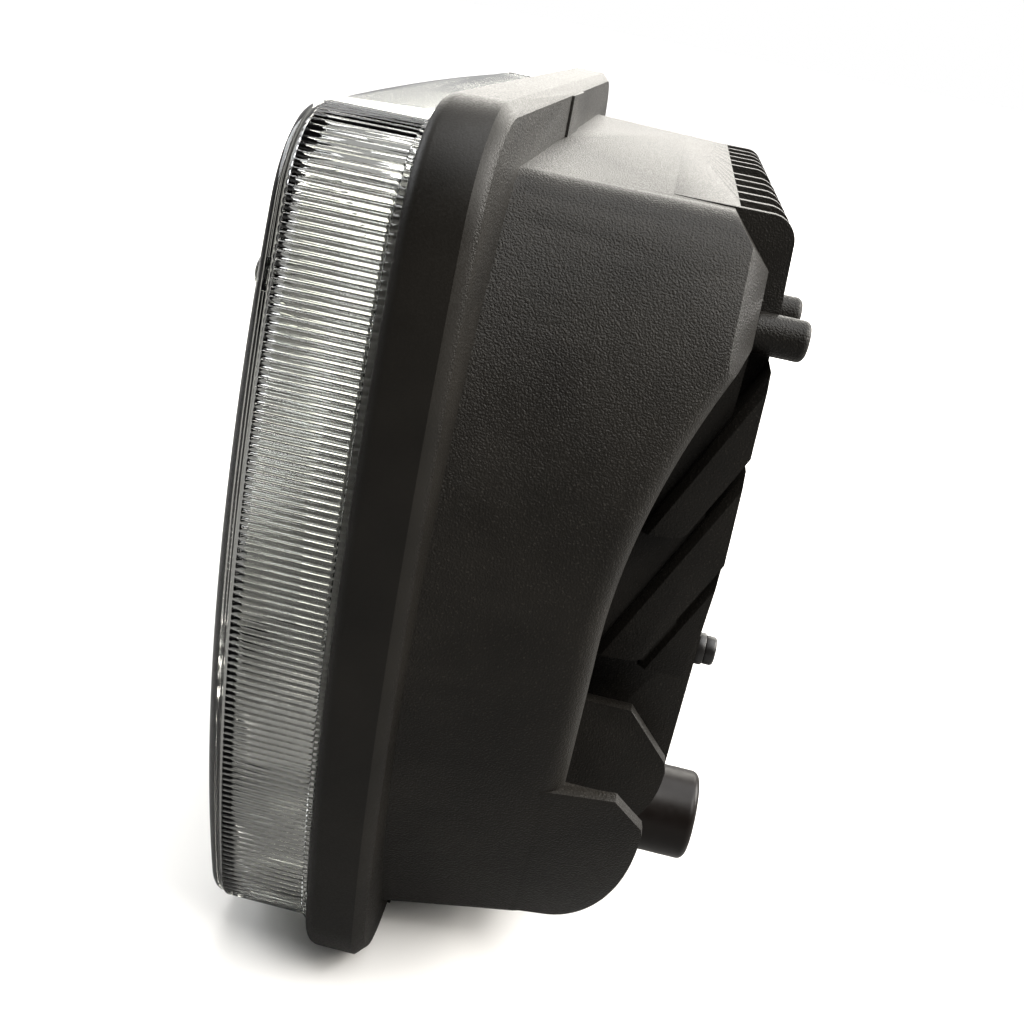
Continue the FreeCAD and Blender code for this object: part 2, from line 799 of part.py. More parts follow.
# Electrical inlet: round shroud, seal and three blades
def blade(offset_x, offset_z, upright, growth):
    half_x = (blade_thickness if upright else blade_width) / 2 + growth
    half_z = (blade_width if upright else blade_thickness) / 2 + growth
    x = inlet_x + offset_x
    z = inlet_z + offset_z
    return box(x - half_x, x + half_x, blade_front - growth, blade_end + growth, z - half_z, z + half_z)


blade_places = {
    "terminal_low": (0, blade_offset, False),
    "terminal_high": (-blade_offset, 0, True),
    "terminal_ground": (blade_offset, 0, True),
}


def make_inlet():
    shroud = rod(inlet_radius, inlet_x, inlet_z, inlet_seat, inlet_end)
    shroud = shroud.makeFillet(inlet_end_round, edges_at(shroud, inlet_end))
    flange = rod(inlet_flange_radius, inlet_x, inlet_z, inlet_seat, inlet_seat + inlet_flange_height)
    spigot = rod(inlet_spigot_radius, inlet_x, inlet_z, inlet_spigot_front, inlet_seat)
    body = shroud.multiFuse([flange, spigot])
    cuts = [rod(inlet_bore_radius, inlet_x, inlet_z, inlet_bore_floor, inlet_end + overlap)]
    seat = rod(seal_outer_radius, inlet_x, inlet_z, inlet_seat - overlap, inlet_seat + seal_thickness)
    cuts.append(seat.cut(rod(seal_inner_radius, inlet_x, inlet_z, 0, inlet_end)))
    for x, z, upright in blade_places.values():
        cuts.append(blade(x, z, upright, blade_fit))
    return body.cut(cuts)


def make_inlet_seal():
    ring = rod(seal_outer_radius, inlet_x, inlet_z, inlet_seat, inlet_seat + seal_thickness)
    return ring.cut(rod(seal_inner_radius, inlet_x, inlet_z, 0, inlet_end))


# Breather: plug in the block and its cap
def make_vent_plug():
    stem = rod(vent_stem_radius, vent_x, vent_z, lower_rear - vent_stem_length, lower_rear)
    body = rod(vent_body_radius, vent_x, vent_z, lower_rear, lower_rear + vent_body_height)
    air = rod(vent_air_radius, vent_x, vent_z, 0, lower_rear + vent_body_height)
    return stem.fuse(body).cut(air)


def make_vent_cap():
    start = lower_rear + vent_body_height
    cap = rod(vent_cap_radius, vent_x, vent_z, start, start + vent_cap_height)
    return cap.makeFillet(vent_cap_round, edges_at(cap, start + vent_cap_height))


low_reflector = make_low_reflector()
low_board = make_led_sheet(led_board_low, led_board_top)
low_pad = make_led_sheet(shelf_half_height, led_board_low)
low_chips = make_chips()

nodes = {
    "housing": make_housing(),
    "lens": make_lens(),
    "lens_seal": make_lens_seal(),
    "inner_bezel": make_bezel(),
    "low_beam_reflector": low_reflector,
    "high_beam_reflector": flipped(low_reflector),
    "low_led_board": low_board,
    "high_led_board": flipped(low_board),
    "low_thermal_pad": low_pad,
    "high_thermal_pad": flipped(low_pad),
    "low_led_chips": low_chips,
    "high_led_chips": flipped(low_chips),
    "driver_board": make_driver_board(),
    "driver_inductor": make_inductor(),
    "driver_capacitors": make_capacitors(),
    "driver_transistors": make_transistors(),
    "trim_screws": make_trim_screws(),
    "board_screws": make_board_screws(),
    "connector_body": make_inlet(),
    "connector_seal": make_inlet_seal(),
    "vent_plug": make_vent_plug(),
    "vent_cap": make_vent_cap(),
}
for name, (x, z, upright) in blade_places.items():
    nodes[name] = blade(x, z, upright, 0)

os.makedirs("parts", exist_ok=True)
for name, shape in nodes.items():
    shape.exportStep("parts/" + name + ".step")
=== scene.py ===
"""Looks of a rectangular sealed-beam headlight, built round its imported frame."""

import math

import bmesh
import bpy
import numpy as np
from mathutils import Matrix, Vector


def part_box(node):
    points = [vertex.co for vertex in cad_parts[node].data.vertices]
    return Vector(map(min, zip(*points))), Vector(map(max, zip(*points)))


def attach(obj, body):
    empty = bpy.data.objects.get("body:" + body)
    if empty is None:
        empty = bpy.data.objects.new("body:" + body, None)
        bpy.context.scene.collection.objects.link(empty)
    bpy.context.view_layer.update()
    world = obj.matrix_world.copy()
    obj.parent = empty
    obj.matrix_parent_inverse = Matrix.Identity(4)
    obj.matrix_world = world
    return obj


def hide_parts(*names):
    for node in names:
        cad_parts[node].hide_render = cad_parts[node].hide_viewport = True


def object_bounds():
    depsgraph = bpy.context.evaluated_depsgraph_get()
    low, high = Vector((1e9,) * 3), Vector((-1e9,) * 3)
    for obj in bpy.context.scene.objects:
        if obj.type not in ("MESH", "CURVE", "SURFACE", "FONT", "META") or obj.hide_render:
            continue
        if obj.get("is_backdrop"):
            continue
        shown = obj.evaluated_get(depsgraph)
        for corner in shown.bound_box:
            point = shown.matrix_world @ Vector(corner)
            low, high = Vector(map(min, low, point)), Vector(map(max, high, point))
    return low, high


bl_info = {
    "name": "Sealed Beam Headlight",
    "version": (1, 0, 0),
    "blender": (4, 5, 0),
    "location": "3D View > Sidebar > Headlight",
    "description": "Dresses a rectangular sealed-beam headlight: fluted lens, finned casting and inlet",
    "category": "Object",
}

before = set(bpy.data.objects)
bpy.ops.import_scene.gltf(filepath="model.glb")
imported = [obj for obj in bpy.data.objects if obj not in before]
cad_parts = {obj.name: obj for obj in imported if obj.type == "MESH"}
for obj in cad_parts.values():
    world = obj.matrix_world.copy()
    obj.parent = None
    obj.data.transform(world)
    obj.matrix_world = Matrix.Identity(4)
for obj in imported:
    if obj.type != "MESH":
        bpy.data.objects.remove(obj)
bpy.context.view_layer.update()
ROOT = "root"
MM = 0.001
IMAGE_SIDE = 1024
NO_TURN = (0.0, 0.0, 0.0)
MERGE_DISTANCE = 0.002 * MM
FLAT_ANGLE = math.radians(0.5)
BEVEL_ANGLE = math.radians(28)
CREASE = math.radians(35)
FINE_CREASE = math.radians(40)
NOISE_SPAN = (0.3, 0.7)


# Sizes and colours that a user would change

def length(name, description, default):
    return bpy.props.FloatProperty(name=name, description=description, default=default * MM, unit="LENGTH",
                                   precision=5)


def linear(code):
    """Linear colour of an sRGB hex value."""
    parts = [int(code[index:index + 2], 16) / 255 for index in (1, 3, 5)]
    return tuple(p / 12.92 if p <= 0.04045 else ((p + 0.055) / 1.055) ** 2.4 for p in parts)


def colour(name, description, code):
    return bpy.props.FloatVectorProperty(name=name, description=description, default=linear(code),
                                         subtype="COLOR", size=3, min=0, max=1)


class LensSizes(bpy.types.PropertyGroup):
    side_radius: length("Side bow", "Radius of the lens's bowed sides", 238.9)
    corner_radius: length("Corner", "Radius of the lens's corners", 14.9)
    wall: length("Wall", "Thickness of the clear moulding", 2.6)
    crown_radius: length("Crown", "Radius of the crowned front", 1240.0)
    edge_radius: length("Edge", "Largest radius of the front edge", 2.6)
    bead_height: length("Bead height", "How far the foot bead stands out", 0.5)
    bead_front: length("Bead front", "Distance of the foot bead's front from the rim", 1.5)
    flute_pitch: length("Flute pitch", "Distance from flute to flute", 1.177)
    flute_depth: length("Flute depth", "Depth of the valleys between flutes", 0.45)
    flute_front: length("Flute front", "Distance of the flutes' front ends from the rim", 15.3)
    band_width: length("Front band", "Least width of the plain band before the flutes", 0.7)
    pad_radius: length("Pad radius", "Radius of the three aiming pads", 2.2)
    pad_height: length("Pad height", "How far the aiming pads stand out", 2.4)
    pad_x: length("Pad side", "Distance of the upper pads from the middle", 80.0)
    pad_z: length("Pad top", "Height of the upper pads", 43.5)
    pad_low: length("Low pad", "Distance of the lower pad below the middle", 52.0)


class CastingSizes(bpy.types.PropertyGroup):
    edge_round: length("Edge round", "Radius of the casting's small edges", 0.5)
    grain: length("Grain", "Size of the coat's grains", 0.3)
    smooth_depth: length("Smooth rim", "Depth of the rim's smooth coat behind its front plane", 9.2)


class RibSizes(bpy.types.PropertyGroup):
    thickness: length("Thickness", "Thickness of the outer ribs", 2.4)
    root: length("Root", "Distance of the ribs' roots behind the rim's front plane", 31.0)
    rear: length("Rear", "Distance of the ribs' rear edges behind the rim's front plane", 49.6)
    top: length("Top", "Distance of the ribs' tops below the middle", 24.7)
    bevel: length("Bevel", "Height of the bevelled rear corner at the top", 5.8)
    heel: length("Heel", "Distance below the middle at which the round heel starts", 34.0)
    foot: length("Foot", "Distance of the ribs' feet below the middle", 59.2)
    foot_depth: length("Foot depth", "Distance of the feet behind the rim's front plane", 38.2)
    side: length("Side", "Distance of the bowl's side from the middle, at the rim's front plane", 93.6)
    taper: length("Taper", "How much nearer to the middle the side is 100 mm further back", 15.94)
    side_radius: length("Side bow", "Radius of the bowl's bowed sides", 110.0)
    widest: length("Widest", "Distance of the bowl's widest place below the middle", 8.0)


class ScrewSizes(bpy.types.PropertyGroup):
    head_radius: length("Head radius", "Radius of the screws' pan heads", 2.8)
    head_height: length("Head height", "Height of the screws' pan heads", 1.8)
    stem_radius: length("Stem radius", "Radius of the screws' stems", 1.5)


class FinishColours(bpy.types.PropertyGroup):
    casting: colour("Casting", "Powder coat of the housing", "#1c1a17")
    lens: colour("Lens", "Tint of the clear moulding", "#e4e5e1")
    bright: colour("Metallised", "Vapour-coated aluminium", "#d9dadb")
    trim: colour("Trim", "Satin coat of the trim frame", "#8b8a86")
    inlet: colour("Inlet", "Glossy moulding of the inlet", "#15110f")
    board: colour("Board", "Solder mask of the lamp boards", "#e9e7df")
    driver: colour("Driver", "Solder mask of the driver board", "#0d4a26")
    floor: colour("Floor", "Studio floor", "#f3f2f0")


# Node and mesh helpers

def add(tree, kind, settings=None, inputs=None):
    """Adds a node with its settings, and links or sets its inputs."""
    node = tree.nodes.new(kind)
    for name, value in (settings or {}).items():
        setattr(node, name, value)
    for key, value in (inputs or {}).items():
        if isinstance(value, bpy.types.NodeSocket):
            tree.links.new(value, node.inputs[key])
        else:
            node.inputs[key].default_value = value
    return node


def calculated(tree, operation, *values):
    return add(tree, "ShaderNodeMath", {"operation": operation}, dict(enumerate(values))).outputs[0]


def scaled(tree, vector, scale):
    return add(tree, "ShaderNodeVectorMath", {"operation": "SCALE"}, {
        0: vector, "Scale": scale}).outputs["Vector"]


def ranged(tree, value, span, result, interpolation="LINEAR"):
    """Carries a span of values over to another."""
    return add(tree, "ShaderNodeMapRange", {"interpolation_type": interpolation}, {
        "Value": value, "From Min": span[0], "From Max": span[1],
        "To Min": result[0], "To Max": result[1]}).outputs["Result"]


def noise(tree, place, grain, detail=2.0):
    """Cloudy noise with grains of a given size."""
    return add(tree, "ShaderNodeTexNoise", None, {
        "Vector": place, "Scale": 1 / grain, "Detail": detail}).outputs["Fac"]


def bumped(tree, height, strength, depth):
    return add(tree, "ShaderNodeBump", None, {
        "Height": height, "Strength": strength, "Distance": depth}).outputs["Normal"]


def opaque(value):
    return (*value, 1.0)


def new_finish(name):
    finish = bpy.data.materials.new(name)
    finish.use_nodes = True
    finish.node_tree.nodes.clear()
    return finish, finish.node_tree


def surface(tree, shader):
    add(tree, "ShaderNodeOutputMaterial", None, {"Surface": shader.outputs["BSDF"]})


def to_mesh(bm, name):
    """Ends a mesh that was being built."""
    mesh = bpy.data.meshes.new(name)
    bm.to_mesh(mesh)
    bm.free()
    return mesh


def mesh_object(name, mesh):
    piece = bpy.data.objects.new(name, mesh)
    bpy.context.scene.collection.objects.link(piece)
    return piece


def seat(piece, slot, *nodes):
    """The piece rides on the lamp's one body, in place of CAD nodes."""
    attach(piece, ROOT)
    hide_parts(*nodes)


def paint(node, finish):
    """Gives a CAD node a finish."""
    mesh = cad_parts[node].data
    mesh.materials.clear()
    mesh.materials.append(finish)


def merged_copy(node):
    """Mesh of a CAD node with its loose triangles joined and its flat faces whole."""
    bm = bmesh.new()
    bm.from_mesh(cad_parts[node].data)
    bmesh.ops.remove_doubles(bm, verts=bm.verts, dist=MERGE_DISTANCE)
    bmesh.ops.dissolve_limit(bm, angle_limit=FLAT_ANGLE, verts=bm.verts, edges=bm.edges)
    return to_mesh(bm, node)


def baked(piece):
    """Turns a piece's modifiers into its plain mesh."""
    graph = bpy.context.evaluated_depsgraph_get()
    graph.update()
    mesh = bpy.data.meshes.new_from_object(piece.evaluated_get(graph))
    piece.modifiers.clear()
    piece.data = mesh
    return mesh


def smooth(mesh, crease):
    mesh.shade_smooth()
    mesh.set_sharp_from_angle(angle=crease)


def bevelled(piece, radius):
    """Rounds a piece's edges in its own mesh."""
    bevel = piece.modifiers.new("edges", "BEVEL")
    bevel.width = radius
    bevel.segments = 2
    bevel.limit_method = "ANGLE"
    bevel.angle_limit = BEVEL_ANGLE
    bevel.use_clamp_overlap = True
    return baked(piece)


def joined(piece, *others):
    """Puts other pieces' meshes into one piece's mesh."""
    bm = bmesh.new()
    for part in (piece, *others):
        bm.from_mesh(part.data)
    bm.to_mesh(piece.data)
    bm.free()
    for part in others:
        bpy.data.objects.remove(part)


def rounded_node(node, radius, finish, slot):
    """A CAD node's form with its edges rounded, in place of the node."""
    piece = mesh_object(node + "_piece", merged_copy(node))
    piece.data.materials.append(finish)
    smooth(bevelled(piece, radius), CREASE)
    seat(piece, slot, node)
    return piece


def bridge(bm, first, second, closed=True):
    """Faces between two rows of points."""
    count = len(first)
    for index in range(count if closed else count - 1):
        following = (index + 1) % count
        bm.faces.new((first[index], first[following], second[following], second[index]))


def turned(name, rows, segments):
    """Mesh turned about the Y axis, from rows of radius, place along Y and whether the row is six-sided."""
    bm = bmesh.new()
    rings = []
    for radius, y, six_sided in rows:
        ring = []
        for index in range(segments):
            angle = 2 * math.pi * index / segments
            flat = math.cos(math.pi / 6) / math.cos(angle % (math.pi / 3) - math.pi / 6)
            reach = radius * flat if six_sided else radius
            ring.append(bm.verts.new((reach * math.cos(angle), y, reach * math.sin(angle))))
        rings.append(ring)
    for first, second in zip(rings, rings[1:]):
        bridge(bm, first, second)
    bm.faces.new(rings[0])
    bm.faces.new(rings[-1])
    bmesh.ops.recalc_face_normals(bm, faces=bm.faces)
    return to_mesh(bm, name)


def form_tree(name, value_name, value_type):
    """Geometry node tree that takes one value: the tree, its start node and the value's key."""
    tree = bpy.data.node_groups.new(name, "GeometryNodeTree")
    tree.interface.new_socket("Geometry", in_out="INPUT", socket_type="NodeSocketGeometry")
    value = tree.interface.new_socket(value_name, in_out="INPUT", socket_type=value_type)
    tree.interface.new_socket("Geometry", in_out="OUTPUT", socket_type="NodeSocketGeometry")
    return tree, add(tree, "NodeGroupInput"), value.identifier


def attribute(tree, name, kind):
    return add(tree, "GeometryNodeInputNamedAttribute", {"data_type": kind}, {
        "Name": name}).outputs["Attribute"]


def run_tree(piece, tree, form, finish, key, value):
    """Ends a geometry node tree with a finish on its form, and runs it on a piece with its value."""
    real = add(tree, "GeometryNodeRealizeInstances", None, {"Geometry": form}).outputs["Geometry"]
    dressed = add(tree, "GeometryNodeSetMaterial", None, {"Geometry": real, "Material": finish})
    add(tree, "NodeGroupOutput", None, {"Geometry": dressed.outputs["Geometry"]})
    modifier = piece.modifiers.new(tree.name, "NODES")
    modifier.node_group = tree
    modifier[key] = value
    baked(piece)


def repeated(name, part, places, finish):
    """Sets a part at every place and turn with a node tree, as one piece."""
    points = bpy.data.meshes.new(name)
    points.from_pydata([place for place, _ in places], [], [])
    turns = points.attributes.new("turn", "FLOAT_VECTOR", "POINT")
    for item, (_, turn) in zip(turns.data, places):
        item.vector = turn
    tree, start, part_key = form_tree(name, "Part", "NodeSocketObject")
    form = add(tree, "GeometryNodeObjectInfo", None, {"Object": start.outputs["Part"]}).outputs["Geometry"]
    copies = add(tree, "GeometryNodeInstanceOnPoints", None, {
        "Points": start.outputs["Geometry"], "Instance": form,
        "Rotation": attribute(tree, "turn", "FLOAT_VECTOR")}).outputs["Instances"]
    source = mesh_object(name + "_part", part)
    piece = mesh_object(name, points)
    run_tree(piece, tree, copies, finish, part_key, source)
    bpy.data.objects.remove(source)
    return piece


def loose_boxes(node):
    """Boxes of the separate solids in a CAD node."""
    bm = bmesh.new()
    bm.from_mesh(merged_copy(node))
    waiting = set(bm.verts)
    boxes = []
    for first in bm.verts:
        if first not in waiting:
            continue
        waiting.remove(first)
        stack = [first]
        found = []
        while stack:
            vert = stack.pop()
            found.append(vert.co)
            for edge in vert.link_edges:
                other = edge.other_vert(vert)
                if other in waiting:
                    waiting.remove(other)
                    stack.append(other)
        boxes.append((Vector(map(min, zip(*found))), Vector(map(max, zip(*found)))))
    bm.free()
    return boxes


# Finishes

def powder_coat():
    """Powder-coated die-cast aluminium: a dull black coat, coarse behind the rim, with fine lighter flecks
    there that are painted glints on its grains.
    """
    colours = bpy.context.scene.headlight_colours
    sizes = bpy.context.scene.headlight_casting
    finish, tree = new_finish("powder_coated_casting")
    cloud_size, grain_depth = 14 * MM, 0.14 * MM
    place = add(tree, "ShaderNodeTexCoord").outputs["Object"]
    along = add(tree, "ShaderNodeSeparateXYZ", None, {"Vector": place}).outputs["Y"]
    rim_end = (sizes.smooth_depth, sizes.smooth_depth + MM)
    coarse = ranged(tree, along, rim_end, (0.12, 1.0), "SMOOTHSTEP")
    grain = noise(tree, place, sizes.grain, 1.0)
    tone = ranged(tree, noise(tree, place, cloud_size), NOISE_SPAN, (0.75, 1.3))
    # Painted glints: the base colour is made lighter on the grains' peaks behind the rim, in place of sparkles
    # of light on them.
    painted_glint = ranged(tree, grain, (0.6, 0.78), (0.0, 1.6), "SMOOTHSTEP")
    # Random tone of the coat, plus the painted glints.
    lighter = calculated(tree, "MULTIPLY_ADD", painted_glint, coarse, tone)
    shader = add(tree, "ShaderNodeBsdfPrincipled", None, {
        "Base Color": scaled(tree, tuple(colours.casting), lighter),
        "Roughness": ranged(tree, grain, NOISE_SPAN, (0.36, 0.52)), "Specular IOR Level": 0.17,
        "Normal": bumped(tree, grain, coarse, grain_depth)})
    surface(tree, shader)
    return finish


def clear_polycarbonate():
    """Clear moulded polycarbonate, polished: bends light strongly and shows sharp reflections."""
    finish, tree = new_finish("clear_polycarbonate")
    wave_size, wave_depth = 9 * MM, 0.2 * MM
    place = add(tree, "ShaderNodeTexCoord").outputs["Object"]
    wave = noise(tree, place, wave_size, 1.0)
    shader = add(tree, "ShaderNodeBsdfPrincipled", None, {
        "Base Color": opaque(bpy.context.scene.headlight_colours.lens), "Roughness": 0.015, "IOR": 1.586,
        "Transmission Weight": 1.0, "Normal": bumped(tree, wave, 0.05, wave_depth)})
    surface(tree, shader)
    return finish


def metallised():
    """Vapour-coated aluminium on moulded plastic: a bright mirror with a slight ripple from the mould."""
    finish, tree = new_finish("metallised_aluminium")
    ripple_size, ripple_depth = 6 * MM, 0.15 * MM
    place = add(tree, "ShaderNodeTexCoord").outputs["Object"]
    ripple = noise(tree, place, ripple_size)
    shader = add(tree, "ShaderNodeBsdfPrincipled", None, {
        "Base Color": opaque(bpy.context.scene.headlight_colours.bright), "Metallic": 1.0,
        "Roughness": ranged(tree, ripple, NOISE_SPAN, (0.08, 0.14)),
        "Normal": bumped(tree, ripple, 0.08, ripple_depth)})
    surface(tree, shader)
    return finish


def moulded(name, base, roughness, grain, depth, shine=0.5):
    """Moulded plastic or rubber with a fine surface grain."""
    finish, tree = new_finish(name)
    place = add(tree, "ShaderNodeTexCoord").outputs["Object"]
    texture = noise(tree, place, grain)
    shader = add(tree, "ShaderNodeBsdfPrincipled", None, {
        "Base Color": opaque(base), "Specular IOR Level": shine,
        "Roughness": ranged(tree, texture, NOISE_SPAN, (roughness * 0.85, roughness * 1.15)),
        "Normal": bumped(tree, texture, 0.3, depth)})
    surface(tree, shader)
    return finish


def bare_metal(name, base, roughness):
    """Bare, plated or vapour-coated metal with fine drawing lines along its length."""
    finish, tree = new_finish(name)
    line_width = 0.25 * MM
    place = add(tree, "ShaderNodeTexCoord").outputs["Object"]
    drawn = add(tree, "ShaderNodeMapping", None, {"Vector": place, "Scale": (1.0, 0.1, 1.0)}).outputs["Vector"]
    lines = noise(tree, drawn, line_width)
    shader = add(tree, "ShaderNodeBsdfPrincipled", None, {
        "Base Color": opaque(base), "Metallic": 1.0,
        "Roughness": ranged(tree, lines, NOISE_SPAN, (roughness * 0.8, roughness * 1.2))})
    surface(tree, shader)
    return finish


# Lens

class LensOutline:
    """Rounded rectangle with bowed sides, as points with outward normals and phases.

    A phase counts the flutes passed on a side and its corners, and is -1 on the plain top and bottom.
    """

    def __init__(self, half_width, half_height, sizes, steps_per_flute):
        side, corner = sizes.side_radius, sizes.corner_radius
        side_x = half_width - side
        reach = side - corner
        corner_z = half_height - corner
        corner_x = side_x + math.sqrt(reach ** 2 - corner_z ** 2)
        turn = math.asin(corner_z / reach)
        corner_length = corner * (math.pi / 2 - turn)
        side_length = side * turn
        half = side_length + corner_length
        flutes = round(2 * half / sizes.flute_pitch)
        points, normals, phases = [], [], []
        for index in range(flutes * steps_per_flute + 1):
            distance = 2 * half * index / (flutes * steps_per_flute) - half
            sign = 1 if distance >= 0 else -1
            run = abs(distance)
            if run <= side_length:
                angle = run / side
                x = side_x + side * math.cos(angle)
                z = side * math.sin(angle)
            else:
                angle = turn + (run - side_length) / corner
                x = corner_x + corner * math.cos(angle)
                z = corner_z + corner * math.sin(angle)
            points.append((x, sign * z))
            normals.append((math.cos(angle), sign * math.sin(angle)))
            phases.append(index / steps_per_flute)
        top_steps = 24
        for index in range(1, top_steps):
            points.append((corner_x * (1 - 2 * index / top_steps), half_height))
            normals.append((0.0, 1.0))
            phases.append(-1.0)
        points += [(-x, -z) for x, z in points]
        normals += [(-x, -z) for x, z in normals]
        phases += phases
        self.points = np.array(points)
        self.normals = np.array(normals)
        self.phases = np.array(phases)

    def ring(self, inset, y):
        """Ring of points, set in from the outline, at a place along Y that may vary round it."""
        flat = self.points - self.normals * np.reshape(inset, (-1, 1))
        return np.column_stack([flat[:, 0], np.broadcast_to(y, len(flat)), flat[:, 1]])


def crown_y(flat, depth, radius):
    """Place along Y of a crowned front over points in X and Z."""
    return radius - depth - np.sqrt(radius ** 2 - flat[:, 0] ** 2 - flat[:, 1] ** 2)


def crown_rings(edge, depth, radius, steps):
    """Rings from the crown's edge to its middle."""
    rings = []
    for index in range(1, steps):
        share = math.cos(math.pi / 2 * index / steps)
        flat = edge[:, (0, 2)] * share
        rings.append(np.column_stack([flat[:, 0], crown_y(flat, depth, radius), flat[:, 1]]))
    return rings


def lens_rings(outline, sizes):
    """Rings from foot to crown: the outside ones with their share of the flutes, and the inside ones."""
    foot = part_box("lens")[1].y
    crown = crown_depth(sizes)
    depth, wall = sizes.flute_depth, sizes.wall
    flute_end = -sizes.flute_front
    band_end = flute_end - sizes.band_width
    least_edge, inner_round = 0.8 * MM, 1.2 * MM
    edge_steps, crown_steps, inner_steps = 6, 14, 8
    edge_flat = outline.points - outline.normals * (depth + sizes.edge_radius)
    edge_y = crown_y(edge_flat, crown, sizes.crown_radius)
    radius = np.clip(band_end - edge_y, least_edge, sizes.edge_radius)
    front = []
    for turn in np.linspace(0, math.pi / 2, edge_steps):
        inset = depth + radius - radius * math.cos(turn)
        front.append(outline.ring(inset, edge_y + radius - radius * math.sin(turn)))
    gap, seam = 0.12 * MM, -0.1 * MM
    bead, bead_front = sizes.bead_height, -sizes.bead_front
    shoulder, bead_share = bead * 0.6, 0.7
    outside = [
        (0.0, foot, 0.0),
        (0.0, seam, 0.0),
        (-shoulder, seam, 0.0),
        (-bead, seam - gap, bead_share),
        (-bead, bead_front + 2 * gap, bead_share),
        (-shoulder, bead_front + gap, 0.0),
        (depth, bead_front, 0.0),
        (0.0, bead_front - gap, 1.0),
        (0.0, flute_end + gap, 1.0),
        (0.05 * MM, flute_end, 0.0),
        (depth, band_end + gap, 0.0),
    ]
    rings = [(outline.ring(inset, y), share) for inset, y, share in outside]
    rings += [(ring, 0.0) for ring in front]
    rings += [(ring, 0.0) for ring in crown_rings(front[-1], crown, sizes.crown_radius, crown_steps)]
    inner_edge = outline.ring(wall + inner_round, 0.0)
    inner_edge[:, 1] = crown_y(inner_edge[:, (0, 2)], crown - wall, sizes.crown_radius)
    inside = [outline.ring(wall, foot), outline.ring(wall, inner_edge[:, 1] + inner_round), inner_edge]
    inside += crown_rings(inner_edge, crown - wall, sizes.crown_radius, inner_steps)
    return rings, inside


def crown_depth(sizes):
    """How far the crown's middle stands before the rim: the lower pad is the foremost point of the lens."""
    foremost = -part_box("lens")[0].y
    return foremost - sizes.pad_height + sizes.pad_low ** 2 / (2 * sizes.crown_radius)


def aiming_pads(sizes, finish):
    """Three short pads on the crown, sunk into its wall."""
    flat = np.array([(sizes.pad_x, sizes.pad_z), (-sizes.pad_x, sizes.pad_z), (0.0, -sizes.pad_low)])
    fronts = crown_y(flat, crown_depth(sizes), sizes.crown_radius)
    places = [((x, y, z), NO_TURN) for (x, z), y in zip(flat, fronts)]
    radius, height = sizes.pad_radius, sizes.pad_height
    edge, sunk, segments = 0.3 * MM, 0.2 * MM, 40
    rows = [(radius - edge, -height, False), (radius - edge / 3, -height + edge / 3, False),
            (radius, -height + edge, False), (radius, -edge, False), (radius + edge, sunk, False),
            (radius, sizes.wall / 2, False)]
    return repeated("aiming_pads", turned("aiming_pad", rows, segments), places, finish)


def lens_skin(outline, rings, inside):
    """Mesh of the lens's rings, with each point's flute phase, its share of the flutes and its outward way."""
    bm = bmesh.new()
    phase = bm.verts.layers.float.new("flute_phase")
    share = bm.verts.layers.float.new("flute_share")
    outward = bm.verts.layers.float_vector.new("outward")
    rows = []
    for points, portion in rings + [(ring, 0.0) for ring in inside]:
        row = []
        for point, normal, turn in zip(points, outline.normals, outline.phases):
            vert = bm.verts.new(point)
            vert[phase] = max(turn, 0.0)
            vert[share] = portion if turn >= 0 else 0.0
            vert[outward] = (normal[0], 0.0, normal[1])
            row.append(vert)
        rows.append(row)
    outer, inner = rows[:len(rings)], rows[len(rings):]
    strips = list(zip(outer, outer[1:])) + list(zip(inner[1:], inner)) + [(inner[0], outer[0])]
    for first, second in strips:
        bridge(bm, first, second)
    count = len(outline.points)
    for row in (outer[-1], inner[-1]):
        middle = bm.verts.new(sum((vert.co for vert in row), Vector()) / count)
        for index in range(count):
            bm.faces.new((row[index], row[(index + 1) % count], middle))
    bmesh.ops.recalc_face_normals(bm, faces=bm.faces)
    return to_mesh(bm, "lens_piece")


def flute(piece, sizes, finish):
    """Presses the valleys between the flutes' round ribs into the lens with a node tree."""
    tree, start, depth_key = form_tree("lens_flutes", "Depth", "NodeSocketFloat")
    turn = calculated(tree, "MULTIPLY", attribute(tree, "flute_phase", "FLOAT"), math.pi)
    rib = calculated(tree, "ABSOLUTE", calculated(tree, "SINE", turn))
    valley = calculated(tree, "SUBTRACT", rib, 1.0)
    pressed = calculated(tree, "MULTIPLY", valley, attribute(tree, "flute_share", "FLOAT"))
    amount = calculated(tree, "MULTIPLY", pressed, start.outputs["Depth"])
    offset = scaled(tree, attribute(tree, "outward", "FLOAT_VECTOR"), amount)
    moved = add(tree, "GeometryNodeSetPosition", None, {
        "Geometry": start.outputs["Geometry"], "Offset": offset}).outputs["Geometry"]
    run_tree(piece, tree, moved, finish, depth_key, sizes.flute_depth)


class BUILD_OT_lens(bpy.types.Operator):
    """Build the fluted clear lens with its aiming pads"""

    bl_idname = "headlight.lens"
    bl_label = "Lens"

    def execute(self, context):
        sizes = context.scene.headlight_lens
        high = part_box("lens")[1]
        steps_per_flute = 6
        outline = LensOutline(high.x - sizes.bead_height, high.z - sizes.bead_height, sizes, steps_per_flute)
        rings, inside = lens_rings(outline, sizes)
        piece = mesh_object("lens_piece", lens_skin(outline, rings, inside))
        finish = clear_polycarbonate()
        flute(piece, sizes, finish)
        joined(piece, aiming_pads(sizes, finish))
        smooth(piece.data, FINE_CREASE)
        seat(piece, "clear_lens", "lens")
        return {"FINISHED"}


# Housing

def rib_rear(sizes, drop):
    """Rear edge of an outer rib at a distance below the middle: a bevel, an upright edge and a round heel."""
    bevel_slope = 0.95
    if drop < sizes.top + sizes.bevel:
        return sizes.rear - (sizes.top + sizes.bevel - drop) * bevel_slope
    if drop < sizes.heel:
        return sizes.rear
    share = (drop - sizes.heel) / (sizes.foot - sizes.heel)
    return sizes.foot_depth + (sizes.rear - sizes.foot_depth) * math.sqrt(max(0.0, 1 - share ** 2))


